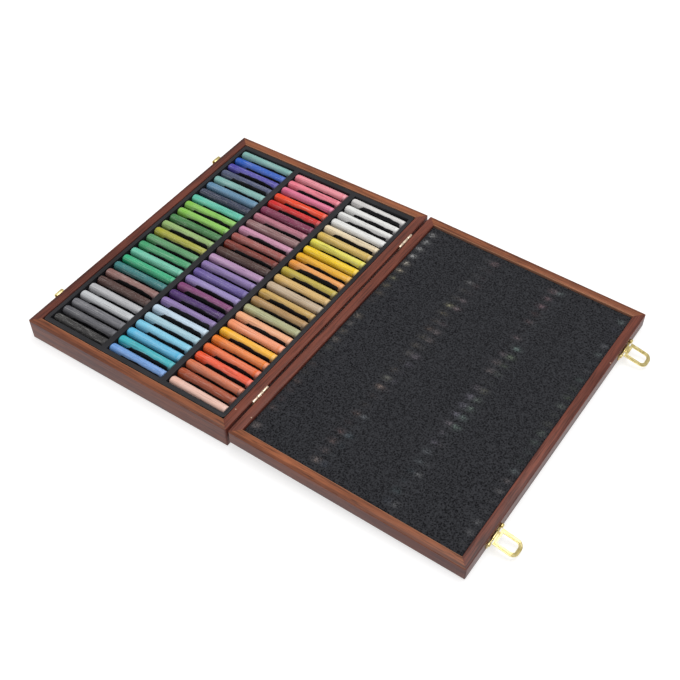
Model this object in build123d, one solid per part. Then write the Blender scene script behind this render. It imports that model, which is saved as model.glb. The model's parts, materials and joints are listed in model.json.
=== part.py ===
"""Hinged wooden case for pastel sticks, lying open, in millimetres.

The base holds a moulded tray with three columns of round sticks. The lid is lined with a foam pad,
turns on two butt hinges and is held shut by two swinging loops that drop over hooked keepers.

Frame: origin at the centre of the base's underside, +X from the base towards the open lid,
+Y towards the rear, +Z up. The hinge line runs along Y. The lid lies past flat, on its far edge.
"""

import os
from math import asin, atan2, cos, degrees, hypot, radians, sin

from build123d import *

# Case: two frames of mitred moulding with the same plan, each closed by a let-in panel
base_depth = 26.0
lid_depth = 17.5
rail_thickness = 10.0
edge_radius = 3.0
corner_radius = 2.2
rim_ease = 0.5
panel_thickness = 3.0
panel_seat = 5.0
panel_clearance = 0.1
seam_gap = 3.0
closed_gap = 0.3

# Sticks, and the tray that sets the case's inside
stick_diameter = 11.0
stick_sides = 10
stick_length = 70.0
stick_gap = 2.1
stick_drop = 0.0
end_room = 0.8
left_column_slide = 0.6
divider_width = 6.4
side_border = 4.5
end_border = 5.55
cradle_clearance = 0.3
ridge_drop = 2.0
tray_sheet = 1.0
tray_drop = 0.7
tray_clearance = 0.7
tray_corner = 3.5
tray_foot_clearance = 0.1

# Foam pad in the lid
foam_recess = 2.5
foam_clearance = 0.3
foam_edge_radius = 0.8

# Butt hinges, on the two faces that meet at the seam
hinge_inset = 51.0
hinge_shift = 1.5
hinge_length = 23.5
knuckle_count = 3
knuckle_gap = 0.3
leaf_thickness = 0.9
leaf_height = 10.0
leaf_corner = 0.8
leaf_screw_spread = 17.0
leaf_screw_drop = 6.2
hinge_pin_radius = 0.75
barrel_sides = 16
running_clearance = 0.05
moving_clearance = 0.3

# Latches on the lid's outer side, with swinging loops
latch_inset = 48.6
latch_pivot_drop = 6.2
latch_plate_width = 26.5
latch_plate_height = 7.6
latch_plate_thickness = 0.9
latch_ear_radius = 1.7
latch_ear_width = 3.2
latch_pin_radius = 0.7
latch_screw_spread = 16.0
latch_screw_drop = 4.6
loop_thickness = 1.2
loop_knuckle_radius = 1.35
loop_width = 19.4
loop_length = 26.0
loop_corner = 7.5
loop_opening_start = 4.7
loop_opening_length = 15.8
loop_opening_width = 11.4
loop_opening_corner = 2.6
loop_lip_angle = 12.0
loop_droop = 11.0

# Keepers on the base's outer side
keeper_width = 13.0
keeper_thickness = 0.8
keeper_foot = 3.8
plate_corner = 1.6
hook_width = 9.8
hook_drop = 4.4
hook_radius = 2.8
claw_radius = 8.5
claw_sweep = 62.0
keeper_screw_spread = 7.0
keeper_screw_rise = 2.2

# Countersunk wood screws
screw_length = 8.0
screw_shank_radius = 0.9
screw_head_radius = 1.8
screw_head_depth = 0.7
screw_clearance = 0.05
screw_sides = 6

# Each column of sticks from the rear to the front, with a letter for each stick's colour family
families = {
    "b": "blue",
    "c": "ochre",
    "e": "grey",
    "g": "green",
    "n": "brown",
    "o": "orange",
    "p": "pink",
    "v": "violet",
    "w": "white",
    "y": "yellow",
}
stick_columns = (
    "bbbbbbbgggggggggggnneeeee",
    "pppooppppnnnvvvvvvvbbbbbb",
    "wwwwyyyyyyycccccoooooonnp",
)

# Places worked out from the sizes
stick_count = len(stick_columns[0])
stick_pitch = stick_diameter + stick_gap
well_width = stick_length + 2 * end_room
well_length = stick_count * stick_pitch
column_pitch = well_width + divider_width
tray_width = len(stick_columns) * column_pitch - divider_width + 2 * side_border
tray_length = well_length + 2 * end_border
inner_width = tray_width + 2 * tray_clearance
inner_length = tray_length + 2 * tray_clearance
case_width = inner_width + 2 * rail_thickness
case_length = inner_length + 2 * rail_thickness
half_width = case_width / 2
keeper_reach = base_depth - keeper_foot
hinge_x = half_width + seam_gap / 2
hinge_z = base_depth + closed_gap / 2
barrel_radius = seam_gap / 2
lid_x = hinge_x + seam_gap / 2 + half_width
latch_x = lid_x + half_width + latch_ear_radius
latch_z = base_depth - latch_pivot_drop
ends = {"front": -1, "rear": 1}
hinge_ys = {end: sign * (case_length / 2 - hinge_inset) + hinge_shift for end, sign in ends.items()}
latch_ys = {end: sign * (case_length / 2 - latch_inset) for end, sign in ends.items()}

# The open lid drops past flat until its rounded far edge meets the table
foot_x = seam_gap / 2 + case_width - edge_radius
foot_z = closed_gap / 2 + lid_depth - edge_radius
lid_tilt = degrees(asin((hinge_z - edge_radius) / hypot(foot_x, foot_z)) - atan2(foot_z, foot_x))
settle = Pos(hinge_x, 0, hinge_z) * Rot(0, lid_tilt, 0) * Pos(-hinge_x, 0, -hinge_z)


def block(x0, x1, y0, y1, z0, z1):
    """A plain block between two corners, for plates and cutting tools."""
    return Pos((x0 + x1) / 2, (y0 + y1) / 2, (z0 + z1) / 2) * Box(x1 - x0, y1 - y0, z1 - z0)


def across(profile, width):
    """A side profile drawn on the XZ plane, made solid evenly both ways along Y."""
    return extrude(Plane.XZ * profile, width / 2, both=True)


def barrel(radius):
    """The round of a knuckle or ear, with few sides because it repeats."""
    return Rot(0, 0, 180 / barrel_sides) * RegularPolygon(radius, barrel_sides)


# ---- Case ----


def mitred_rail(length, depth):
    """A moulding along X with its outer face at y = 0, mitred at both ends, with its rim at z = depth."""
    seat = rail_thickness - panel_seat
    section = Polygon(
        (0, 0),
        (seat, 0),
        (seat, panel_thickness),
        (rail_thickness, panel_thickness),
        (rail_thickness, depth),
        (0, depth),
        align=None,
    )
    section = chamfer(section.vertices().group_by(Axis.Y)[-1], rim_ease)
    section = fillet(section.vertices().sort_by(Axis.X).sort_by(Axis.Y)[0], edge_radius)
    moulding = extrude(Plane.YZ * section, length / 2, both=True)
    half, t = length / 2, rail_thickness
    plan = Polygon((-half, 0), (half, 0), (half - t, t), (t - half, t), align=None)
    return moulding & extrude(plan, depth)


def case_rails(depth):
    """The four rails of one half of the case, with the half's outer face at z = 0."""
    short_rail = mitred_rail(case_width, depth)
    long_rail = mitred_rail(case_length, depth)
    plan = extrude(RectangleRounded(case_width, case_length, corner_radius), depth)
    rails = {
        "front": Pos(0, -case_length / 2, 0) * short_rail,
        "rear": Pos(0, case_length / 2, 0) * Rot(0, 0, 180) * short_rail,
        "left": Pos(-half_width, 0, 0) * Rot(0, 0, -90) * long_rail,
        "right": Pos(half_width, 0, 0) * Rot(0, 0, 90) * long_rail,
    }
    return {side: rail & plan for side, rail in rails.items()}


def case_panel():
    """The thin panel let into the outer face of a frame."""
    gap = 2 * panel_clearance
    width = inner_width + 2 * panel_seat - gap
    return extrude(Rectangle(width, inner_length + 2 * panel_seat - gap), panel_thickness)


# ---- Screws ----


def screw_form(clearance):
    """A countersunk screw with its head's face at z = 0 and its shank down, or the hole it fits."""
    head = RegularPolygon(screw_head_radius + clearance, screw_sides)
    shank = RegularPolygon(screw_shank_radius + clearance, screw_sides)
    slope = degrees(atan2(screw_head_radius - screw_shank_radius, screw_head_depth))
    form = extrude(head, -screw_head_depth, taper=slope)
    form += extrude(shank, -screw_length - clearance)
    if clearance:
        form += extrude(head, clearance)
    return form


def screw_rows(x, z, fitting_ys, pair_spread, facing):
    """Screw places on an upright face: two at each of the two fittings, heads facing +X or -X."""
    return [
        Pos(x, y + side * pair_spread / 2, z) * Rot(0, 90 * facing, 0)
        for y in fitting_ys.values()
        for side in (-1, 1)
    ]


hinge_screw_z = hinge_z - leaf_screw_drop
base_hinge_screws = screw_rows(
    half_width + leaf_thickness, hinge_screw_z, hinge_ys, leaf_screw_spread, 1
)
lid_hinge_screws = screw_rows(
    hinge_x + seam_gap / 2 - leaf_thickness, hinge_screw_z, hinge_ys, leaf_screw_spread, -1
)
latch_screws = screw_rows(
    latch_x - latch_ear_radius + latch_plate_thickness,
    latch_z - latch_screw_drop,
    latch_ys,
    latch_screw_spread,
    1,
)
keeper_screws = screw_rows(
    -half_width - keeper_thickness,
    base_depth - keeper_reach + keeper_screw_rise,
    latch_ys,
    keeper_screw_spread,
    -1,
)


def drilled(solid, places):
    """A solid with a screw hole at each place."""
    for place in places:
        solid -= place * screw_form(screw_clearance)
    return solid


def screws_at(places):
    return Compound(children=[place * screw_form(0) for place in places])


# ---- Hinges ----


def hinge_leaf(side, first):
    """One leaf with the hinge pin's axis as its Y axis; side is -1 on the base and 1 on the lid.

    Every second knuckle from the one numbered first belongs to this leaf.
    """
    face = side * seam_gap / 2
    front = face - side * leaf_thickness
    top = -(barrel_radius + moving_clearance)
    half = hinge_length / 2
    leaf = block(min(face, front), max(face, front), -half, half, -leaf_height, top)
    leaf = chamfer(leaf.edges().filter_by(Axis.X).group_by(Axis.Z)[0], leaf_corner)
    web = Pos((face + front) / 2, -leaf_height / 4) * Rectangle(leaf_thickness, leaf_height / 2)
    length = (hinge_length - (knuckle_count - 1) * knuckle_gap) / knuckle_count
    for n in range(first, knuckle_count, 2):
        y = -half + length / 2 + n * (length + knuckle_gap)
        leaf += Pos(0, y, 0) * across(barrel(barrel_radius) + web, length)
    return leaf - Rot(90, 0, 0) * Cylinder(hinge_pin_radius + running_clearance, 2 * hinge_length)


def hinge_pin():
    return Rot(90, 0, 0) * Cylinder(hinge_pin_radius, hinge_length)


# ---- Latches ----


def latch_plate():
    """The plate that carries a loop: pin axis as its Y axis, case face at x = -ear radius."""
    face = -latch_ear_radius
    front = face + latch_plate_thickness
    top = -(loop_knuckle_radius + moving_clearance)
    half = latch_plate_width / 2
    plate = block(face, front, -half, half, -latch_plate_height, top)
    plate = chamfer(plate.edges().filter_by(Axis.X).group_by(Axis.Z)[0], plate_corner)
    web = Pos((face + front) / 2, top / 2) * Rectangle(latch_plate_thickness, -2 * top)
    ear = across(barrel(latch_ear_radius) + web, latch_ear_width)
    for side in (-1, 1):
        plate += Pos(0, side * (half - latch_ear_width / 2), 0) * ear
    return plate - Rot(90, 0, 0) * Cylinder(latch_pin_radius + running_clearance, 2 * half)


def latch_pin():
    return Rot(90, 0, 0) * Cylinder(latch_pin_radius, latch_plate_width)


def latch_loop():
    """The swinging loop, pointing out along +X from its pin, with its end bar bent down."""
    bend_x = loop_opening_start + loop_opening_length + loop_thickness / 2
    outline = Pos(loop_length / 2, 0) * Rectangle(loop_length, loop_width)
    outline = fillet(outline.vertices().group_by(Axis.X)[-1], loop_corner)
    opening = RectangleRounded(loop_opening_length, loop_opening_width, loop_opening_corner)
    opening_x = loop_opening_start + loop_opening_length / 2
    strip = Pos(bend_x / 2, 0) * Rectangle(bend_x, loop_thickness)
    lip = Pos(loop_length / 2, 0) * Rectangle(loop_length, loop_thickness)
    strip += Pos(bend_x, 0) * (Circle(loop_thickness / 2) + Rot(0, 0, -loop_lip_angle) * lip)
    loop = across(strip, loop_width)
    loop &= extrude(outline, loop_length, both=True)
    loop += across(barrel(loop_knuckle_radius), loop_width)
    loop -= extrude(Pos(opening_x, 0) * opening, loop_length, both=True)
    return loop - Rot(90, 0, 0) * Cylinder(latch_pin_radius + running_clearance, loop_width)


def keeper():
    """The hooked keeper: case face at x = 0, rim at z = 0, hook out along +X and down."""
    plate = block(0, keeper_thickness, -keeper_width / 2, keeper_width / 2, -keeper_reach, -hook_drop)
    plate = chamfer(plate.edges().filter_by(Axis.X).group_by(Axis.Z)[0], plate_corner)
    t = keeper_thickness
    crown_x = hook_radius + t / 2
    claw_x = 2 * hook_radius + t / 2 - claw_radius
    crown = barrel(hook_radius + t / 2) - barrel(hook_radius - t / 2)
    crown &= Pos(0, 2 * hook_radius) * Rectangle(4 * hook_radius, 4 * hook_radius)
    claw = barrel(claw_radius + t / 2) - barrel(claw_radius - t / 2)
    far = 2 * claw_radius
    turn = radians(claw_sweep)
    claw &= Polygon((0, 0), (far, 0), (far, -far), (far * cos(turn), -far * sin(turn)), align=None)
    root = Pos(t / 2, -plate_corner) * Rectangle(t, 2 * plate_corner)
    section = Pos(crown_x, 0) * crown + Pos(claw_x, 0) * claw + root
    return plate + Pos(0, 0, -hook_drop) * across(section, hook_width)


# ---- Tray, sticks and foam ----

stick_z = base_depth - stick_drop - stick_diameter / 2
middle_column = (len(stick_columns) - 1) / 2
column_xs = [(n - middle_column) * column_pitch for n in range(len(stick_columns))]
stick_ys = [((stick_count - 1) / 2 - n) * stick_pitch for n in range(stick_count)]


def cradle_floor():
    """The floor of one well, with a trough under every stick."""
    trough = stick_diameter / 2 + cradle_clearance
    depth = trough + tray_sheet
    floor = Pos(0, -(ridge_drop + depth) / 2) * Rectangle(well_length, depth - ridge_drop)
    floor -= Sketch() + [Pos(y, 0) * RegularPolygon(trough, stick_sides) for y in stick_ys]
    return Pos(0, 0, stick_z) * extrude(Plane.YZ * floor, well_width / 2, both=True)


def stick_tray():
    """The moulded tray: rounded skirt, level border and dividers, and three scalloped wells."""
    top = base_depth - tray_drop
    foot = panel_thickness + tray_foot_clearance
    well_foot = stick_z - stick_diameter / 2 - cradle_clearance - tray_sheet
    sheet = 2 * tray_sheet
    outer = RectangleRounded(tray_width, tray_length, tray_corner)
    inner = RectangleRounded(tray_width - sheet, tray_length - sheet, tray_corner - tray_sheet)
    tray = Pos(0, 0, foot) * extrude(outer - inner, top - foot)
    deck = Pos(0, 0, top - tray_sheet) * extrude(outer, tray_sheet)
    well = Rectangle(well_width, well_length)
    well_wall = Rectangle(well_width + sheet, well_length + sheet)
    tray += deck
    for x in column_xs:
        tray += Pos(x, 0, well_foot) * extrude(well_wall, top - well_foot)
        tray -= Pos(x, 0, well_foot) * extrude(well, top - well_foot)
        tray += Pos(x, 0, 0) * cradle_floor()
    for x in (-column_pitch / 2, column_pitch / 2):
        rib = block(-tray_sheet / 2, tray_sheet / 2, -well_length / 2, well_length / 2, foot, top)
        tray += Pos(x, 0, 0) * rib
    return tray


def stick_groups():
    """The sticks of each colour family, lying in their troughs."""
    section = RegularPolygon(stick_diameter / 2, stick_sides)
    stick = extrude(Plane.YZ * section, stick_length / 2, both=True)
    groups = {family: [] for family in families.values()}
    stick_xs = [column_xs[0] + left_column_slide, *column_xs[1:]]
    for x, column in zip(stick_xs, stick_columns):
        for y, letter in zip(stick_ys, column):
            groups[families[letter]].append(Pos(x, y, stick_z) * stick)
    return {family: Compound(children=sticks) for family, sticks in groups.items()}


def foam_pad():
    """The foam sheet that fills the lid to just below its rim."""
    width = inner_width - 2 * foam_clearance
    length = inner_length - 2 * foam_clearance
    pad = extrude(Rectangle(width, length), lid_depth - panel_thickness - foam_recess)
    return fillet(pad.edges().group_by(Axis.Z)[-1], foam_edge_radius)


# ---- Assembly ----

nodes = {}

base_rails = case_rails(base_depth)
nodes["base_front_rail"] = base_rails["front"]
nodes["base_rear_rail"] = base_rails["rear"]
nodes["base_latch_rail"] = drilled(base_rails["left"], keeper_screws)
nodes["base_hinge_rail"] = drilled(base_rails["right"], base_hinge_screws)
nodes["base_panel"] = case_panel()
nodes["stick_tray"] = stick_tray()
for family, sticks in stick_groups().items():
    nodes[family + "_pastels"] = sticks

to_lid = Pos(lid_x, 0, base_depth - lid_depth)
lid_rails = case_rails(lid_depth)
nodes["lid_front_rail"] = settle * to_lid * lid_rails["front"]
nodes["lid_rear_rail"] = settle * to_lid * lid_rails["rear"]
nodes["lid_hinge_rail"] = settle * drilled(to_lid * lid_rails["left"], lid_hinge_screws)
nodes["lid_latch_rail"] = settle * drilled(to_lid * lid_rails["right"], latch_screws)
nodes["lid_panel"] = settle * to_lid * case_panel()
nodes["foam_pad"] = settle * to_lid * Pos(0, 0, panel_thickness) * foam_pad()

for end in ends:
    at_hinge = Pos(hinge_x, hinge_ys[end], hinge_z)
    base_leaf = drilled(at_hinge * hinge_leaf(-1, 0), base_hinge_screws)
    lid_leaf = drilled(at_hinge * hinge_leaf(1, 1), lid_hinge_screws)
    nodes[end + "_hinge_base_leaf"] = base_leaf
    nodes[end + "_hinge_lid_leaf"] = settle * lid_leaf
    nodes[end + "_hinge_pin"] = at_hinge * hinge_pin()

    at_latch = Pos(latch_x, latch_ys[end], latch_z)
    nodes[end + "_latch_plate"] = settle * drilled(at_latch * latch_plate(), latch_screws)
    nodes[end + "_latch_pin"] = settle * at_latch * latch_pin()
    nodes[end + "_latch_loop"] = settle * at_latch * Rot(0, loop_droop, 0) * latch_loop()

    at_keeper = Pos(-half_width, latch_ys[end], base_depth) * Rot(0, 0, 180)
    nodes[end + "_keeper"] = drilled(at_keeper * keeper(), keeper_screws)

nodes["base_hinge_screws"] = screws_at(base_hinge_screws)
nodes["lid_hinge_screws"] = settle * screws_at(lid_hinge_screws)
nodes["latch_screws"] = settle * screws_at(latch_screws)
nodes["keeper_screws"] = screws_at(keeper_screws)

os.makedirs("parts", exist_ok=True)
for name, shape in nodes.items():
    export_step(shape, "parts/" + name + ".step")

latch_axis = (settle * Pos(latch_x, 0, latch_z)).position
print("nodes", len(nodes), "lid tilt", round(lid_tilt, 4))
print("hinge axis x, z", round(hinge_x, 4), round(hinge_z, 4))
print("latch axis x, z", round(latch_axis.X, 4), round(latch_axis.Z, 4))
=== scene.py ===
"""Looks of the hinged pastel case: stained wood, moulded tray, sleeved sticks, foam and brass."""

import json
import math
import random

import bmesh
import bpy
from mathutils import Matrix, Vector


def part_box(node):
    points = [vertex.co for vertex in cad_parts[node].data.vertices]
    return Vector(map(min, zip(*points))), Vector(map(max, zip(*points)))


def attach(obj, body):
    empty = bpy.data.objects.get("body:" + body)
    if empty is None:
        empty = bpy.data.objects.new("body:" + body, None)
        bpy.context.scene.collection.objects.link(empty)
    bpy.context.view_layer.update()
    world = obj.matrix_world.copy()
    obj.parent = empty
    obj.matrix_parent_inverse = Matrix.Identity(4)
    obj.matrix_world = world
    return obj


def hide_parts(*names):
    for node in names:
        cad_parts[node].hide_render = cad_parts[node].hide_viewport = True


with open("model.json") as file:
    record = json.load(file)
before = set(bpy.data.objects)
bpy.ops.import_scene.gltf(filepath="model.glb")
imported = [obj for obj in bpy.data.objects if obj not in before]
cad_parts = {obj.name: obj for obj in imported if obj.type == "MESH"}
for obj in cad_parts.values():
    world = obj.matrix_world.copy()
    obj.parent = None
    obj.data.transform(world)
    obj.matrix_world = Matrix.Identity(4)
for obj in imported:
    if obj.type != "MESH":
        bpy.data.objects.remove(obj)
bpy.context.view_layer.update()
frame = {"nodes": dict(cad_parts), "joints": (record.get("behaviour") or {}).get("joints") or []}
nodes = frame["nodes"]
joints = {j["name"]: j for j in frame["joints"]}
MM = 0.001

# Where the halves turn, and how far the open lid lies past flat
HINGE_LINE = Vector(joints["lid_hinge"]["pos_m"])
LID_TILT = math.radians(joints["lid_hinge"]["range_deg"][1] - 180)

# Sticks, as they lie in the frame
STICK_RADIUS = 5.5 * MM
STICK_LENGTH = 70 * MM
STICK_PITCH = 13.1 * MM
COLUMN_PITCH = 78 * MM
STICKS_IN_COLUMN = 25
LEFT_COLUMN_SLIDE = 0.6 * MM
STICK_SIDES = 36
SLEEVE_END = 66.6 * MM

# Latch loops: a ring that starts beside the pin, its groove, its bent lip and its knuckle
LOOP_LENGTH = 26.0 * MM
LOOP_WIDTH = 19.4 * MM
LOOP_THICKNESS = 1.2 * MM
LOOP_DROOP = math.radians(11)
LOOP_START = 1.9 * MM
LOOP_BAR = 3.9 * MM
LOOP_END_ROUND = 7.4 * MM
PIN_SIDE_TRIM = 1.1 * MM
GROOVE_INSET = 1.05 * MM
GROOVE_DEPTH = 0.22 * MM
LIP_LENGTH = 4.9 * MM
LIP_ANGLE = math.radians(12)
KNUCKLE_RADIUS = 1.35 * MM
KNUCKLE_LENGTH = 9.8 * MM

# The wood's edge bands, as four distances where a band starts, is full, fades and ends: painted
# shade on the outer edges and a lighter band along the short rails' inner edges, from the case's
# middle line for the short rails, and from its hinge line for the long ones
SHORT_OUTER_EDGE = (0.1764, 0.1773, 0.1790, 0.1797)
SHORT_INNER_EDGE = (0.1694, 0.1699, 0.1703, 0.1711)
LONG_OUTER_EDGE = (0.2560, 0.2569, 0.2585, 0.2592)

# Bare spots on the long rails: x, y, z and radius
CHIPS = (
    (0.1218, -0.1546, 0.0260, 0.0008),
    (0.1402, -0.1542, 0.0257, 0.0008),
    (0.3886, 0.1000, 0.0172, 0.0009),
)


# ---- Working with meshes ----


def deselect():
    bpy.ops.object.select_all(action="DESELECT")


def choose(piece):
    deselect()
    piece.select_set(True)
    bpy.context.view_layer.objects.active = piece


def apply_modifiers(piece):
    choose(piece)
    for modifier in list(piece.modifiers):
        bpy.ops.object.modifier_apply(modifier=modifier.name)


def bevelled(piece, width, segments=2, angle=30):
    """Rounds a piece's sharp edges and shades it."""
    modifier = piece.modifiers.new("edges", "BEVEL")
    modifier.width = width
    modifier.segments = segments
    modifier.limit_method = "ANGLE"
    modifier.angle_limit = math.radians(angle)
    apply_modifiers(piece)
    bpy.ops.object.shade_smooth_by_angle(angle=math.radians(40))


def finished_copy(node, name, width, segments=2, angle=30):
    """A copy of a CAD node, merged and with its edges eased, which stands for the node."""
    piece = bpy.data.objects.new(name, nodes[node].data.copy())
    bpy.context.scene.collection.objects.link(piece)
    choose(piece)
    bpy.ops.object.mode_set(mode="EDIT")
    bpy.ops.mesh.select_all(action="SELECT")
    bpy.ops.mesh.remove_doubles(threshold=0.00001)
    bpy.ops.mesh.dissolve_limited(angle_limit=math.radians(1))
    bpy.ops.object.mode_set(mode="OBJECT")
    if piece.data.has_custom_normals:
        bpy.ops.mesh.customdata_custom_splitnormals_clear()
    bevelled(piece, width, segments, angle)
    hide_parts(node)
    return piece


def pick_faces(piece, wanted):
    """Selects a piece's faces in edit mode that pass a test."""
    mesh = bmesh.from_edit_mesh(piece.data)
    for face in mesh.faces:
        face.select = wanted(face)
    mesh.select_flush_mode()
    bmesh.update_edit_mesh(piece.data)


def pick_corners(piece, wanted):
    """Selects a piece's vertices in edit mode whose places pass a test."""
    bpy.ops.mesh.select_mode(type="VERT")
    mesh = bmesh.from_edit_mesh(piece.data)
    for corner in mesh.verts:
        corner.select = wanted(corner.co)
    mesh.select_flush_mode()
    bmesh.update_edit_mesh(piece.data)


def give(piece, material, body):
    """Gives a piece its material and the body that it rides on."""
    piece.data.materials.clear()
    piece.data.materials.append(material)
    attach(piece, body)
    return piece


# ---- Materials ----


class Recipe:
    """A material's nodes, added one by one to its Principled shader."""

    def __init__(self, name, roughness=0.5, metallic=0.0, color=None):
        self.material = bpy.data.materials.new(name)
        self.material.use_nodes = True
        self.tree = self.material.node_tree
        self.shader = self.tree.nodes["Principled BSDF"]
        self.shader.inputs["Roughness"].default_value = roughness
        self.shader.inputs["Metallic"].default_value = metallic
        if color:
            self.shader.inputs["Base Color"].default_value = (*color, 1)

    def feed(self, socket, value):
        """Links another node's output to a socket, or sets a plain value on it."""
        if isinstance(value, bpy.types.NodeSocket):
            self.tree.links.new(value, socket)
        else:
            socket.default_value = value

    def add(self, kind, settings=None, **inputs):
        node = self.tree.nodes.new(kind)
        for key, value in (settings or {}).items():
            setattr(node, key, value)
        for key, value in inputs.items():
            self.feed(node.inputs[key.replace("_", " ")], value)
        return node

    def set(self, key, value):
        self.feed(self.shader.inputs[key], value)

    def place(self, scale=(1, 1, 1), location=(0, 0, 0)):
        coordinates = self.add("ShaderNodeTexCoord").outputs["Object"]
        return self.add(
            "ShaderNodeMapping", Vector=coordinates, Scale=scale, Location=location
        ).outputs["Vector"]

    def noise(self, scale, detail=3.0, where=None, roughness=0.5):
        where = where or self.place()
        return self.add(
            "ShaderNodeTexNoise", Vector=where, Scale=scale, Detail=detail, Roughness=roughness
        ).outputs["Fac"]

    def math(self, operation, a, b=0.0, clamp=False):
        node = self.tree.nodes.new("ShaderNodeMath")
        node.operation = operation
        node.use_clamp = clamp
        for socket, value in zip(node.inputs, (a, b)):
            self.feed(socket, value)
        return node.outputs["Value"]

    def band(self, value, start, full, fade, end):
        """One between full and fade, falling to zero at start and end."""
        past = self.math("SUBTRACT", value, start)
        left = self.math("SUBTRACT", end, value)
        rise = self.math("MULTIPLY", past, 1 / (full - start), clamp=True)
        fall = self.math("MULTIPLY", left, 1 / (end - fade), clamp=True)
        return self.math("MULTIPLY", rise, fall)

    def ramp(self, value, *stops):
        """A colour ramp with (position, colour) stops, or (position, grey)."""
        node = self.add("ShaderNodeValToRGB", Fac=value)
        steps = node.color_ramp.elements
        while len(steps) < len(stops):
            steps.new(0.5)
        for step, (position, color) in zip(steps, stops):
            step.position = position
            grey = isinstance(color, (int, float))
            step.color = (color, color, color, 1) if grey else (*color, 1)
        return node.outputs["Color"]

    def mix(self, factor, a, b, blend="MIX"):
        node = self.tree.nodes.new("ShaderNodeMix")
        node.data_type = "RGBA"
        node.blend_type = blend
        sockets = (node.inputs[0], node.inputs[6], node.inputs[7])
        for socket, value in zip(sockets, (factor, a, b)):
            self.feed(socket, (*value, 1) if isinstance(value, tuple) else value)
        return node.outputs[2]

    def recoloured(self, color, saturation, value):
        node = self.add(
            "ShaderNodeHueSaturation", Color=color, Saturation=saturation, Value=value
        )
        return node.outputs["Color"]

    def bump(self, height, strength, distance):
        node = self.add("ShaderNodeBump", Height=height, Strength=strength, Distance=distance)
        self.set("Normal", node.outputs["Normal"])


def stained_wood(name, along, dark, light, chips=()):
    """Reddish stained wood with its grain along X or Y, under a thin satin varnish.

    The outer edges are darker with painted shade, the upright faces greyer with a painted floor
    bounce, the short rails' inner edges are lighter, and chips are bare spots.
    """
    r = Recipe(name, roughness=0.4)
    r.set("Specular IOR Level", 0.3)
    stretch = {"X": (7, 130, 130), "Y": (130, 7, 130)}[along]
    pores_stretch = {"X": (30, 1100, 1100), "Y": (1100, 30, 1100)}[along]
    cloud = r.noise(1.0, 5.0, r.place(stretch), 0.65)
    pores = r.noise(1.0, 2.0, r.place(pores_stretch), 0.7)
    broad = r.noise(16.0, 2.0)
    tone = r.ramp(cloud, (0.34, dark), (0.66, light))
    tone = r.mix(r.ramp(pores, (0.36, 0.8), (0.52, 0.0)), tone, tuple(c * 0.4 for c in dark))
    tone = r.mix(r.ramp(broad, (0.42, 0.0), (0.75, 0.3)), tone, tuple(c * 1.3 for c in light))
    spot = r.place()
    parts = r.add("ShaderNodeSeparateXYZ", Vector=spot).outputs
    if along == "X":
        reach = r.math("ABSOLUTE", parts["Y"])
        edge = r.band(reach, *SHORT_OUTER_EDGE)
        # A lighter orange band along the short rails' inner edges
        lighter_inner_band = r.band(reach, *SHORT_INNER_EDGE)
        tone = r.mix(r.math("MULTIPLY", lighter_inner_band, 0.6), tone, (0.46, 0.22, 0.11))
    else:
        reach = r.math("ABSOLUTE", r.math("SUBTRACT", parts["X"], HINGE_LINE.x))
        edge = r.band(reach, *LONG_OUTER_EDGE)
    # Painted shade darkens the bands along the outer edges
    tone = r.mix(r.math("MULTIPLY", edge, 0.6), tone, (0.38, 0.34, 0.40), "MULTIPLY")
    for x, y, z, radius in chips:
        away = r.add("ShaderNodeVectorMath", {"operation": "DISTANCE"})
        r.feed(away.inputs[0], spot)
        r.feed(away.inputs[1], (x, y, z))
        inside = r.math("SUBTRACT", radius, away.outputs["Value"])
        chip = r.math("MULTIPLY", inside, 4000.0, clamp=True)
        tone = r.mix(r.math("MULTIPLY", chip, 0.8), tone, (0.62, 0.44, 0.30))
    # Painted floor bounce: upright faces are mixed towards a cool grey-blue, more on the short
    # rails
    facing = r.add("ShaderNodeTexCoord").outputs["Normal"]
    upward = r.math("ABSOLUTE", r.add("ShaderNodeSeparateXYZ", Vector=facing).outputs["Z"])
    painted_floor_bounce = 0.22 if along == "X" else 0.06
    tone = r.mix(r.ramp(upward, (0.1, painted_floor_bounce), (0.8, 0.0)), tone, (0.03, 0.06, 0.13))
    r.set("Base Color", tone)
    r.set("Roughness", r.ramp(broad, (0.3, 0.34), (0.75, 0.46)))
    r.bump(pores, 0.3, 0.00015)
    return r.material


def tray_plastic():
    """Charcoal moulded plastic with a fine grain."""
    r = Recipe("charcoal_plastic", roughness=0.42)
    r.set("Specular IOR Level", 0.3)
    fine = r.noise(2600.0, 2.0)
    broad = r.noise(24.0, 3.0)
    r.set("Base Color", r.ramp(broad, (0.3, (0.010, 0.010, 0.012)), (0.75, (0.022, 0.021, 0.025))))
    r.set("Roughness", r.ramp(broad, (0.3, 0.34), (0.7, 0.5)))
    r.bump(fine, 0.35, 0.00006)
    return r.material


def foam_rubber():
    """Dark open foam, dusted with colour where the smudge attribute says so."""
    r = Recipe("speckled_foam", roughness=1.0)
    r.set("Specular IOR Level", 0.15)
    cells = r.add("ShaderNodeTexVoronoi", Vector=r.place(), Scale=620.0, Randomness=1.0)
    clumps = r.noise(520.0, 3.0, roughness=0.8)
    depth = cells.outputs["Distance"]
    speckle = r.ramp(depth, (0.3, (0.001, 0.001, 0.002)), (0.85, (0.036, 0.037, 0.042)))
    tone = r.mix(r.ramp(clumps, (0.44, 0.0), (0.60, 0.85)), speckle, (0.040, 0.041, 0.046))
    smudge = r.add("ShaderNodeAttribute", {"attribute_name": "smudge"})
    patchy = r.ramp(r.noise(640.0, 4.0, roughness=0.85), (0.44, 0.0), (0.58, 1.0))
    dusted = r.mix(patchy, (0.0, 0.0, 0.0), smudge.outputs["Color"])
    r.set("Base Color", r.mix(1.0, tone, dusted, "ADD"))
    r.bump(depth, 0.8, 0.0006)
    return r.material


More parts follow.
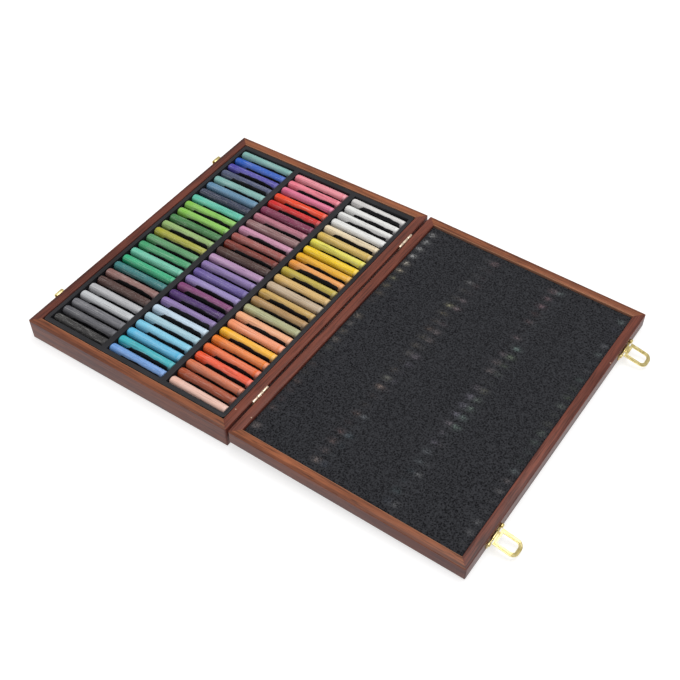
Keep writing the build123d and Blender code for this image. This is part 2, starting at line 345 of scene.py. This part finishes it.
def sleeved_stick():
    """A stick in its paper sleeve: bare at the left end, creased paper with painted highlights on
    the ridges and painted shade in the folds, pale flecks of print and painted sheen, painted shade
    on its lower side, and a dark printed panel below that also stands for the shade between the
    sticks.

    The sleeve map runs along the stick in U and round it in V, with the top at a half. The shade
    attribute holds the stick's colour, and in its alpha a chance value that varies the pattern.
    """
    r = Recipe("sleeved_stick", roughness=0.42)
    stick = r.add("ShaderNodeAttribute", {"attribute_name": "shade"})
    shade, luck = stick.outputs["Color"], stick.outputs["Alpha"]
    sleeve = r.add("ShaderNodeUVMap", {"uv_map": "sleeve"}).outputs["UV"]
    parts = r.add("ShaderNodeSeparateXYZ", Vector=sleeve)
    along, round_ = parts.outputs["X"], parts.outputs["Y"]
    row = r.math("MULTIPLY", luck, 40.0)

    def pattern(lengthwise, around, detail, roughness):
        where = r.add(
            "ShaderNodeCombineXYZ",
            X=r.math("MULTIPLY", along, lengthwise),
            Y=r.math("MULTIPLY", round_, around),
            Z=row,
        )
        return r.noise(1.0, detail, where.outputs["Vector"], roughness)

    creases = pattern(2.5, 34.0, 4.0, 0.7)
    print_and_sheen_flecks = pattern(26.0, 60.0, 3.0, 0.75)
    waves = pattern(3.5, 0.0, 2.0, 0.6)
    wander = r.math("MULTIPLY", r.math("SUBTRACT", waves, 0.5), 0.3)

    started = r.math("ADD", along, wander)
    paper = r.ramp(started, (0.13, 0.0), (0.20, 1.0), (0.93, 1.0), (0.955, 0.0))
    tone = r.mix(paper, r.recoloured(shade, 1.12, 1.0), r.recoloured(shade, 1.05, 1.0))
    # Painted highlights along the crease ridges, and painted shade in the folds
    pale_sheen_and_print = r.mix(0.6, shade, (0.88, 0.87, 0.84))
    tone = r.mix(r.ramp(creases, (0.56, 0.0), (0.68, 0.5)), tone, pale_sheen_and_print)
    painted_fold_shade = r.ramp(creases, (0.34, 0.6), (0.45, 0.0))
    tone = r.mix(painted_fold_shade, tone, (0.22, 0.21, 0.22), "MULTIPLY")
    # Pale flecks on the paper: partly the print's light speckle, partly painted sheen
    pale = r.math("MULTIPLY", paper, r.ramp(print_and_sheen_flecks, (0.58, 0.0), (0.70, 0.45)))
    tone = r.mix(pale, tone, pale_sheen_and_print)
    # Painted shade on each stick's lower side
    painted_lower_shade = r.math("MULTIPLY", r.math("SUBTRACT", round_, 0.555), 9.0, clamp=True)
    tone = r.mix(r.math("MULTIPLY", painted_lower_shade, 0.65), tone, (0.34, 0.33, 0.34), "MULTIPLY")

    # The panel's upper edge steps up near the left end, wavers and falls a little at the right one
    recess = r.ramp(started, (0.17, 1.0), (0.25, 0.12), (0.60, 0.0), (0.90, 0.05), (0.99, 0.2))
    edge = r.math("ADD", r.math("MULTIPLY", recess, 0.15), 0.66)
    edge = r.math("ADD", edge, r.math("MULTIPLY", r.math("SUBTRACT", luck, 0.4), 0.12))
    edge = r.math("ADD", edge, r.math("MULTIPLY", wander, 0.4))
    # A dark printed panel on each stick's lower side, which also stands for the shade between the
    # sticks
    over = r.math("MULTIPLY", r.math("SUBTRACT", round_, edge), 70.0, clamp=True)
    under = r.math("MULTIPLY", r.math("SUBTRACT", 0.95, round_), 70.0, clamp=True)
    print_and_shade_panel = r.math("MULTIPLY", over, under)
    black = r.ramp(creases, (0.40, (0.004, 0.004, 0.005)), (0.75, (0.028, 0.027, 0.029)))
    r.set("Base Color", r.mix(print_and_shade_panel, tone, black))
    r.set("Specular IOR Level", r.ramp(print_and_shade_panel, (0.0, 0.5), (1.0, 0.1)))
    r.bump(creases, 0.5, 0.0004)
    return r.material


def pressed_pigment():
    """The bare stub at the right end, a little brighter than its sleeve, with painted shade below.
    """
    r = Recipe("pressed_pigment", roughness=0.55)
    shade = r.add("ShaderNodeAttribute", {"attribute_name": "shade"}).outputs["Color"]
    bare = r.recoloured(shade, 0.97, 1.06)
    sleeve = r.add("ShaderNodeUVMap", {"uv_map": "sleeve"}).outputs["UV"]
    round_ = r.add("ShaderNodeSeparateXYZ", Vector=sleeve).outputs["Y"]
    # Painted shade on the stub's lower side
    painted_shade_below = r.math("MULTIPLY", r.math("SUBTRACT", round_, 0.555), 8.0, clamp=True)
    bare = r.mix(r.math("MULTIPLY", painted_shade_below, 0.9), bare, (0.14, 0.13, 0.14), "MULTIPLY")
    grain = r.noise(900.0, 3.0)
    r.set("Base Color", r.mix(r.ramp(grain, (0.4, 0.01), (0.7, 0.1)), bare, (0.7, 0.7, 0.7)))
    r.bump(grain, 0.3, 0.00012)
    return r.material


def plated_brass(name, dark, light):
    """Brushed plating whose colour and polish vary a little."""
    r = Recipe(name, roughness=0.26, metallic=1.0)
    cloud = r.noise(220.0, 3.0)
    brushing = r.noise(1.0, 2.0, r.place((500, 4000, 4000)), 0.6)
    r.set("Base Color", r.ramp(cloud, (0.3, dark), (0.75, light)))
    r.set("Roughness", r.ramp(cloud, (0.25, 0.26), (0.8, 0.42)))
    r.bump(brushing, 0.12, 0.00005)
    return r.material


long_wood = stained_wood(
    "stained_wood_long", "Y", (0.094, 0.021, 0.012), (0.212, 0.054, 0.030), CHIPS
)
short_wood = stained_wood("stained_wood_short", "X", (0.145, 0.039, 0.015), (0.345, 0.112, 0.045))
panel_wood = stained_wood("stained_board", "Y", (0.10, 0.03, 0.018), (0.20, 0.065, 0.036))
plastic = tray_plastic()
foam_finish = foam_rubber()
sleeved = sleeved_stick()
pigment = pressed_pigment()
latch_brass = plated_brass("latch_brass", (0.66, 0.53, 0.20), (0.95, 0.82, 0.42))
hinge_brass = plated_brass("hinge_brass", (0.80, 0.62, 0.45), (0.95, 0.80, 0.64))


# ---- Wooden case ----

for half in ("base", "lid"):
    for side in ("front", "rear", "hinge", "latch"):
        wood = short_wood if side in ("front", "rear") else long_wood
        rail = finished_copy(f"{half}_{side}_rail", f"{half}_{side}_rail_wood", 0.7 * MM, 3, 20)
        give(rail, wood, half)
    board = finished_copy(f"{half}_panel", f"{half}_panel_board", 0.3 * MM, 2)
    give(board, panel_wood, half)


# ---- Tray ----

tray = finished_copy("stick_tray", "moulded_tray", 0.5 * MM, 3, 50)
give(tray, plastic, "base")


# ---- Sticks ----

# Stick colours, as shares of full red, green and blue on screen
PALETTE = {
    "aqua": (0.52, 0.70, 0.68),
    "cobalt": (0.25, 0.40, 0.74),
    "indigo": (0.35, 0.33, 0.65),
    "slate": (0.30, 0.33, 0.44),
    "steel": (0.40, 0.55, 0.66),
    "navy": (0.18, 0.21, 0.30),
    "sea": (0.40, 0.75, 0.66),
    "leaf": (0.56, 0.78, 0.38),
    "forest": (0.28, 0.50, 0.30),
    "moss": (0.60, 0.72, 0.46),
    "olive": (0.66, 0.66, 0.28),
    "sage": (0.38, 0.60, 0.42),
    "fern": (0.30, 0.62, 0.44),
    "mint": (0.46, 0.76, 0.66),
    "emerald": (0.26, 0.68, 0.50),
    "pine": (0.22, 0.48, 0.48),
    "umber": (0.56, 0.42, 0.40),
    "sepia": (0.30, 0.20, 0.18),
    "silver": (0.72, 0.72, 0.73),
    "pearl": (0.77, 0.78, 0.79),
    "ash": (0.43, 0.43, 0.45),
    "graphite": (0.36, 0.36, 0.38),
    "black": (0.13, 0.12, 0.12),
    "blush": (0.93, 0.60, 0.64),
    "rose": (0.92, 0.52, 0.58),
    "orchid": (0.88, 0.48, 0.60),
    "vermilion": (0.94, 0.34, 0.24),
    "scarlet": (0.82, 0.22, 0.22),
    "wine": (0.50, 0.20, 0.32),
    "heather": (0.72, 0.46, 0.52),
    "mallow": (0.80, 0.58, 0.68),
    "clay": (0.56, 0.42, 0.42),
    "brick": (0.62, 0.36, 0.34),
    "russet": (0.50, 0.22, 0.18),
    "lilac": (0.70, 0.56, 0.70),
    "violet": (0.56, 0.48, 0.68),
    "iris": (0.44, 0.38, 0.62),
    "lavender": (0.60, 0.54, 0.74),
    "plum": (0.52, 0.28, 0.46),
    "aubergine": (0.30, 0.18, 0.42),
    "ice": (0.78, 0.86, 0.92),
    "mist": (0.66, 0.80, 0.85),
    "sky": (0.54, 0.80, 0.90),
    "azure": (0.44, 0.74, 0.88),
    "teal": (0.30, 0.70, 0.74),
    "cornflower": (0.48, 0.64, 0.86),
    "chalk": (0.86, 0.85, 0.84),
    "snow": (0.90, 0.90, 0.89),
    "cream": (0.92, 0.85, 0.72),
    "straw": (0.84, 0.72, 0.42),
    "lemon": (0.90, 0.86, 0.40),
    "yellow": (0.95, 0.80, 0.24),
    "amber": (0.92, 0.70, 0.26),
    "apricot": (0.92, 0.64, 0.38),
    "mustard": (0.76, 0.68, 0.32),
    "sand": (0.84, 0.70, 0.46),
    "oat": (0.76, 0.68, 0.58),
    "ochre": (0.80, 0.66, 0.40),
    "taupe": (0.70, 0.56, 0.38),
    "putty": (0.68, 0.68, 0.52),
    "peach": (0.94, 0.70, 0.55),
    "salmon": (0.96, 0.64, 0.50),
    "tangerine": (0.98, 0.74, 0.32),
    "orange": (0.94, 0.56, 0.34),
    "coral": (0.92, 0.50, 0.36),
    "red": (0.94, 0.42, 0.32),
    "copper": (0.84, 0.50, 0.38),
    "chestnut": (0.66, 0.34, 0.24),
    "shell": (0.92, 0.76, 0.70),
}

# How the sticks of each column lie, in degrees: rolled about themselves and turned in their
# troughs. The front stick turns less, and each has its own chance roll and slack along its trough.
COLUMN_ROLLS = (0, -2, -6)
COLUMN_TURNS = (0, -0.35, -1.7)
FRONT_STICK_TURN = 0.7
ROLL_SPREAD = 13
END_SLACK = 0.4 * MM

# Each column from the rear to the front: the family, then its sticks in order
LEFT_COLUMN = (
    ("blue", "aqua cobalt indigo slate aqua steel navy"),
    ("green", "sea leaf leaf forest moss olive sage fern mint emerald pine"),
    ("brown", "umber sepia"),
    ("grey", "silver pearl ash graphite black"),
)
MIDDLE_COLUMN = (
    ("pink", "blush rose orchid"),
    ("orange", "vermilion scarlet"),
    ("pink", "wine heather clay mallow"),
    ("brown", "brick russet sepia"),
    ("violet", "lilac violet iris lavender plum aubergine violet"),
    ("blue", "ice mist sky azure teal cornflower"),
)
RIGHT_COLUMN = (
    ("white", "chalk snow snow snow"),
    ("yellow", "cream straw lemon yellow amber apricot mustard"),
    ("ochre", "sand oat ochre taupe putty"),
    ("orange", "peach salmon tangerine orange coral red"),
    ("brown", "copper chestnut"),
    ("pink", "shell"),
)


def linear(screen):
    """A colour on screen as linear light."""
    return tuple(c / 12.92 if c <= 0.04045 else ((c + 0.055) / 1.055) ** 2.4 for c in screen)


def turned(name, sides, rings):
    """A closed form turned about X: rings are (x, radius) from its left end to its right."""
    (start, radius), *others = rings
    bpy.ops.mesh.primitive_circle_add(
        vertices=sides,
        radius=radius,
        fill_type="NGON",
        location=(start, 0, 0),
        rotation=(0, math.pi / 2, 0),
    )
    piece = bpy.context.object
    piece.name = name
    bpy.ops.object.transform_apply(location=True, rotation=True, scale=True)
    bpy.ops.object.mode_set(mode="EDIT")
    bpy.ops.mesh.select_all(action="SELECT")
    x, last = start, radius
    for far, wide in others:
        bpy.ops.mesh.extrude_region_move(TRANSFORM_OT_translate={"value": (far - x, 0, 0)})
        bpy.ops.transform.resize(value=(1, wide / last, wide / last), center_override=(far, 0, 0))
        x, last = far, wide
    bpy.ops.mesh.select_all(action="SELECT")
    bpy.ops.mesh.normals_make_consistent(inside=False)
    bpy.ops.object.mode_set(mode="OBJECT")
    return piece


def stick_pattern():
    """One sleeved stick along X with its left end at the origin, and its sleeve map."""
    r, end = STICK_RADIUS, STICK_LENGTH
    rings = [(0, r * 0.3), (0, r * 0.62), (0.25 * MM, r * 0.78), (0.9 * MM, r * 0.91)]
    rings += [(2.0 * MM, r * 0.98), (3.6 * MM, r), (end / 2, r), (SLEEVE_END, r)]
    rings += [(SLEEVE_END + 0.05 * MM, r - 0.16 * MM), (end - 0.6 * MM, r - 0.2 * MM)]
    rings += [(end - 0.2 * MM, r - 0.45 * MM), (end, r - 1.0 * MM)]
    piece = turned("stick", STICK_SIDES, rings)
    piece.data.materials.append(sleeved)
    piece.data.materials.append(pigment)
    sleeve = piece.data.uv_layers.new(name="sleeve")
    for face in piece.data.polygons:
        face.material_index = int(face.center.x > SLEEVE_END)
        middle = (math.atan2(face.normal.z, face.normal.y) / math.tau + 0.25) % 1
        for corner in face.loop_indices:
            spot = piece.data.vertices[piece.data.loops[corner].vertex_index].co
            round_ = (math.atan2(spot.z, spot.y) / math.tau + 0.25) % 1
            if abs(round_ - middle) > 0.5:
                round_ += 1 if middle > 0.5 else -1
            sleeve.data[corner].uv = (spot.x / end, round_)
    return piece


def coloured(stick, color):
    """Fills a stick's shade attribute, with a chance value in its alpha."""
    shade = stick.data.color_attributes.new("shade", "FLOAT_COLOR", "POINT")
    luck = random.random()
    for spot in shade.data:
        spot.color = (*color, luck)


random.seed(7)
pattern = stick_pattern()
stick_z = (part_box("white_pastels")[0].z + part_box("white_pastels")[1].z) / 2
sticks_of = {}
stick_ends = []
for number, column in enumerate((LEFT_COLUMN, MIDDLE_COLUMN, RIGHT_COLUMN)):
    x = (number - 1) * COLUMN_PITCH - STICK_LENGTH / 2 + (0 if number else LEFT_COLUMN_SLIDE)
    shades = [(family, shade) for family, shades in column for shade in shades.split()]
    for place, (family, shade) in enumerate(shades):
        color = linear(PALETTE[shade])
        stick = bpy.data.objects.new(f"{family}_stick", pattern.data.copy())
        bpy.context.scene.collection.objects.link(stick)
        y = ((STICKS_IN_COLUMN - 1) / 2 - place) * STICK_PITCH
        slack = random.uniform(-END_SLACK, END_SLACK)
        front = place == STICKS_IN_COLUMN - 1
        turned_by = COLUMN_TURNS[number] * (FRONT_STICK_TURN if front else 1)
        rolled_by = COLUMN_ROLLS[number] + random.uniform(-ROLL_SPREAD, ROLL_SPREAD)
        turn = Matrix.Rotation(math.radians(turned_by), 4, "Z")
        roll = Matrix.Rotation(math.radians(rolled_by), 4, "X")
        stick.data.transform(Matrix.Translation((x + slack, y, stick_z)) @ turn @ roll)
        coloured(stick, color)
        sticks_of.setdefault(family, []).append(stick)
        stick_ends.append((x, y, color))
bpy.data.objects.remove(pattern)

for family, sticks in sticks_of.items():
    deselect()
    for stick in sticks:
        stick.select_set(True)
    bpy.context.view_layer.objects.active = sticks[0]
    bpy.ops.object.join()
    group = bpy.context.object
    group.name = f"{family}_sticks"
    bpy.ops.object.shade_smooth_by_angle(angle=math.radians(50))
    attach(group, "base")
    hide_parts(f"{family}_pastels")


# ---- Foam pad ----


# A stick end's mark on the foam: a soft smear and its brighter middle, as half widths along and
# across the stick, and the strengths that chance picks from
SMEAR_ALONG = 4.5 * MM
SMEAR_ACROSS = 2.6 * MM
MIDDLE_ALONG = 1.8 * MM
MIDDLE_ACROSS = 1.6 * MM
MARK_SPREAD = 9 * MM
MARK_STRENGTHS = (0.2, 0.4, 0.7, 1.0, 1.5)
HEAVY_MARK = 2.4
FACE_CUTS = 100


def foam_marks():
    """Where the sticks' ends press on the closed lid's foam: x, y, colour and strength."""
    marks = []
    for x, y, color in stick_ends:
        for end in (x, x + STICK_LENGTH):
            opposite = 2 * HINGE_LINE.x - end
            strength = random.choice(MARK_STRENGTHS)
            in_rear_hinge_corner = opposite < 152 * MM and y > 88 * MM
            marks.append((opposite, y, color, HEAVY_MARK if in_rear_hinge_corner else strength))
    return marks


def dust(place, marks):
    """The colour that the marks leave at a place on the foam."""
    total = [0.0, 0.0, 0.0]
    for mark_x, mark_y, color, strength in marks:
        dx, dy = place.x - mark_x, place.y - mark_y
        if abs(dy) < MARK_SPREAD:
            smear = math.exp(-((dx / SMEAR_ALONG) ** 2) - (dy / SMEAR_ACROSS) ** 2) * strength
            middle = math.exp(-((dx / MIDDLE_ALONG) ** 2) - (dy / MIDDLE_ACROSS) ** 2)
            middle *= max(0, strength - 0.5)
            for i in range(3):
                total[i] += (0.14 * smear + 0.30 * middle) * (0.4 * color[i] + 0.3)
    return total


def foam_sheet():
    """The pad, with a close grid over its face that holds the marks."""
    to_hinge = Matrix.Translation(HINGE_LINE)
    flat = to_hinge @ Matrix.Rotation(-LID_TILT, 4, "Y") @ to_hinge.inverted()
    corners = [flat @ v.co for v in nodes["foam_pad"].data.vertices]
    lo = Vector([min(c[i] for c in corners) for i in range(3)])
    hi = Vector([max(c[i] for c in corners) for i in range(3)])
    bpy.ops.mesh.primitive_cube_add(size=1, location=(lo + hi) / 2)
    pad = bpy.context.object
    pad.name = "foam_sheet"
    pad.scale = hi - lo
    bpy.ops.object.transform_apply(location=True, rotation=True, scale=True)
    bevelled(pad, 1.0 * MM, 3)
    bpy.ops.object.mode_set(mode="EDIT")
    pick_faces(pad, lambda face: face.normal.z > 0.99 and face.calc_area() > 0.01)
    bpy.ops.mesh.subdivide(number_cuts=FACE_CUTS)
    bpy.ops.object.mode_set(mode="OBJECT")
    smudge = pad.data.color_attributes.new("smudge", "FLOAT_COLOR", "POINT")
    marks = foam_marks()
    for vertex, spot in zip(pad.data.vertices, smudge.data):
        on_face = vertex.co.z > hi.z - 0.1 * MM
        spot.color = (*dust(vertex.co, marks), 1) if on_face else (0, 0, 0, 1)
    pad.data.transform(flat.inverted())
    return pad


foam = foam_sheet()
give(foam, foam_finish, "lid")
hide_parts("foam_pad")


# ---- Brass fittings ----


def latch_ring(name):
    """A flat ring with a shallow groove and a rounded far end, bent at its lip."""
    middle = (LOOP_START + LOOP_LENGTH) / 2
    bpy.ops.mesh.primitive_plane_add(size=1, location=(middle, 0, LOOP_THICKNESS / 2))
    ring = bpy.context.object
    ring.name = name
    ring.scale = (LOOP_LENGTH - LOOP_START, LOOP_WIDTH, 1)
    bpy.ops.object.transform_apply(location=True, rotation=True, scale=True)

    bpy.ops.object.mode_set(mode="EDIT")
    pick_corners(ring, lambda place: place.x > LOOP_LENGTH / 2)
    bpy.ops.mesh.bevel(affect="VERTICES", offset=LOOP_END_ROUND, segments=12)
    bpy.ops.mesh.select_mode(type="FACE")
    bpy.ops.mesh.select_all(action="SELECT")
    bpy.ops.mesh.inset(thickness=LOOP_BAR)
    bpy.ops.mesh.delete(type="FACE")

    inner = LOOP_START + LOOP_BAR
    pick_corners(ring, lambda place: abs(place.x - inner) < 1 * MM and abs(place.y) < 6.5 * MM)
    bpy.ops.transform.translate(value=(-PIN_SIDE_TRIM, 0, 0))
    bpy.ops.mesh.select_mode(type="FACE")
    bpy.ops.mesh.select_all(action="SELECT")
    down = {"value": (0, 0, -LOOP_THICKNESS)}
    bpy.ops.mesh.extrude_region_move(TRANSFORM_OT_translate=down)
    bpy.ops.mesh.select_all(action="SELECT")
    bpy.ops.mesh.normals_make_consistent(inside=False)

    pick_faces(ring, lambda face: face.normal.z > 0.9)
    bpy.ops.mesh.inset(thickness=GROOVE_INSET)
    bpy.ops.transform.translate(value=(0, 0, -GROOVE_DEPTH))

    lip_start = LOOP_LENGTH - LIP_LENGTH
    pick_corners(ring, lambda place: place.x > lip_start)
    bpy.ops.transform.rotate(
        value=-LIP_ANGLE, orient_axis="Y", center_override=(lip_start, 0, 0)
    )
    bpy.ops.object.mode_set(mode="OBJECT")
    bevelled(ring, 0.22 * MM, 2, 25)
    return ring


def latch_loop_form(name):
    """The ring and the knuckle that turns between the plate's ears, with a web to join them."""
    ring = latch_ring(name)
    bpy.ops.mesh.primitive_cylinder_add(
        vertices=28, radius=KNUCKLE_RADIUS, depth=KNUCKLE_LENGTH, rotation=(math.pi / 2, 0, 0)
    )
    knuckle = bpy.context.object
    bpy.ops.object.transform_apply(location=True, rotation=True, scale=True)
    bevelled(knuckle, 0.3 * MM, 2, 40)
    bpy.ops.mesh.primitive_cube_add(size=1, location=(1.6 * MM, 0, 0))
    web = bpy.context.object
    web.scale = (2.6 * MM, 9.4 * MM, 1.1 * MM)
    bpy.ops.object.transform_apply(location=True, rotation=True, scale=True)
    bevelled(web, 0.15 * MM, 2, 40)
    deselect()
    for piece in (web, knuckle, ring):
        piece.select_set(True)
    bpy.context.view_layer.objects.active = ring
    bpy.ops.object.join()
    return ring


for end in ("front", "rear"):
    loop = latch_loop_form(f"{end}_brass_loop")
    pivot = Vector(joints[f"{end}_latch_swing"]["pos_m"])
    turn = Matrix.Rotation(LID_TILT + LOOP_DROOP, 4, "Y")
    loop.data.transform(Matrix.Translation(pivot) @ turn)
    give(loop, latch_brass, f"{end}_latch_loop")
    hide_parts(f"{end}_latch_loop")

for end in ("front", "rear"):
    for node, body in (
        (f"{end}_hinge_base_leaf", "base"),
        (f"{end}_hinge_lid_leaf", "lid"),
        (f"{end}_hinge_pin", "base"),
        (f"{end}_latch_plate", "lid"),
        (f"{end}_latch_pin", "lid"),
        (f"{end}_keeper", "base"),
    ):
        fitting = finished_copy(node, f"{node}_brass", 0.16 * MM, 2, 35)
        give(fitting, hinge_brass if "hinge" in node else latch_brass, body)

for node, body in (
    ("base_hinge_screws", "base"),
    ("lid_hinge_screws", "lid"),
    ("latch_screws", "lid"),
    ("keeper_screws", "base"),
):
    screws = finished_copy(node, f"{node}_brass", 0.1 * MM, 2, 35)
    give(screws, latch_brass, body)


# ---- Stage ----


def area_light(name, place, size, power):
    """A soft lamp that faces the case."""
    data = bpy.data.lights.new(name, "AREA")
    data.shape = "RECTANGLE"
    data.size, data.size_y = size
    data.energy = power
    lamp = bpy.data.objects.new(name, data)
    bpy.context.scene.collection.objects.link(lamp)
    lamp.location = place
    toward_case = Vector((0.1, 0, 0)) - Vector(place)
    lamp.rotation_euler = toward_case.to_track_quat("-Z", "Y").to_euler()


def studio_floor():
    """A white floor that lifts its own colour to white in view, and keeps the case's shadow."""
    bpy.ops.mesh.primitive_plane_add(size=12, location=(0, 0, -0.0002))
    floor = bpy.context.object
    floor.name = "studio_floor"
    r = Recipe("white_floor", roughness=0.9, color=(0.5, 0.5, 0.5))
    rays = r.add("ShaderNodeLightPath")
    seen = r.math("MAXIMUM", rays.outputs["Is Camera Ray"], rays.outputs["Is Glossy Ray"])
    seen = r.math("MAXIMUM", seen, rays.outputs["Is Transmission Ray"])
    r.set("Emission Color", (1, 1, 1, 1))
    r.set("Emission Strength", r.math("MULTIPLY", seen, 0.65))
    floor.data.materials.append(r.material)


def studio_world():
    """Soft light from all round, and plain white behind."""
    world = bpy.data.worlds.new("studio")
    bpy.context.scene.world = world
    world.use_nodes = True
    tree = world.node_tree
    background = tree.nodes["Background"]
    background.inputs["Color"].default_value = (1, 1, 1, 1)
    rays = tree.nodes.new("ShaderNodeLightPath")
    strength = tree.nodes.new("ShaderNodeMapRange")
    strength.inputs["To Min"].default_value = 0.55
    strength.inputs["To Max"].default_value = 1.0
    tree.links.new(rays.outputs["Is Camera Ray"], strength.inputs["Value"])
    tree.links.new(strength.outputs["Result"], background.inputs["Strength"])


def studio_camera():
    """The photograph's viewpoint, solved from the corners of both halves."""
    azimuth = math.radians(36.39761)
    elevation = math.radians(47.473879)
    roll = math.radians(-2.274445)
    target = Vector((0.15377, -0.02706, 0.026))
    distance = 1.1503
    across = Vector((math.cos(azimuth), math.sin(azimuth), 0))
    level = Vector((math.sin(azimuth), -math.cos(azimuth), 0))
    back = level * math.cos(elevation) + Vector((0, 0, math.sin(elevation)))
    up = back.cross(across)
    right = across * math.cos(roll) + up * math.sin(roll)
    up = back.cross(right)
    data = bpy.data.cameras.new("camera")
    data.lens = 61.04
    data.sensor_width = 36
    data.clip_start = 0.01
    camera = bpy.data.objects.new("camera", data)
    bpy.context.scene.collection.objects.link(camera)
    turn = Matrix((right, up, back)).transposed().to_4x4()
    camera.matrix_world = Matrix.Translation(target + back * distance) @ turn
    bpy.context.scene.camera = camera


studio_floor()
studio_world()
studio_camera()
area_light("overhead", (0.4, 0.25, 1.5), (1.3, 0.9), 13)
area_light("left_fill", (-1.2, -0.3, 1.0), (0.9, 0.9), 3)
bpy.context.scene.view_settings.view_transform = "Standard"
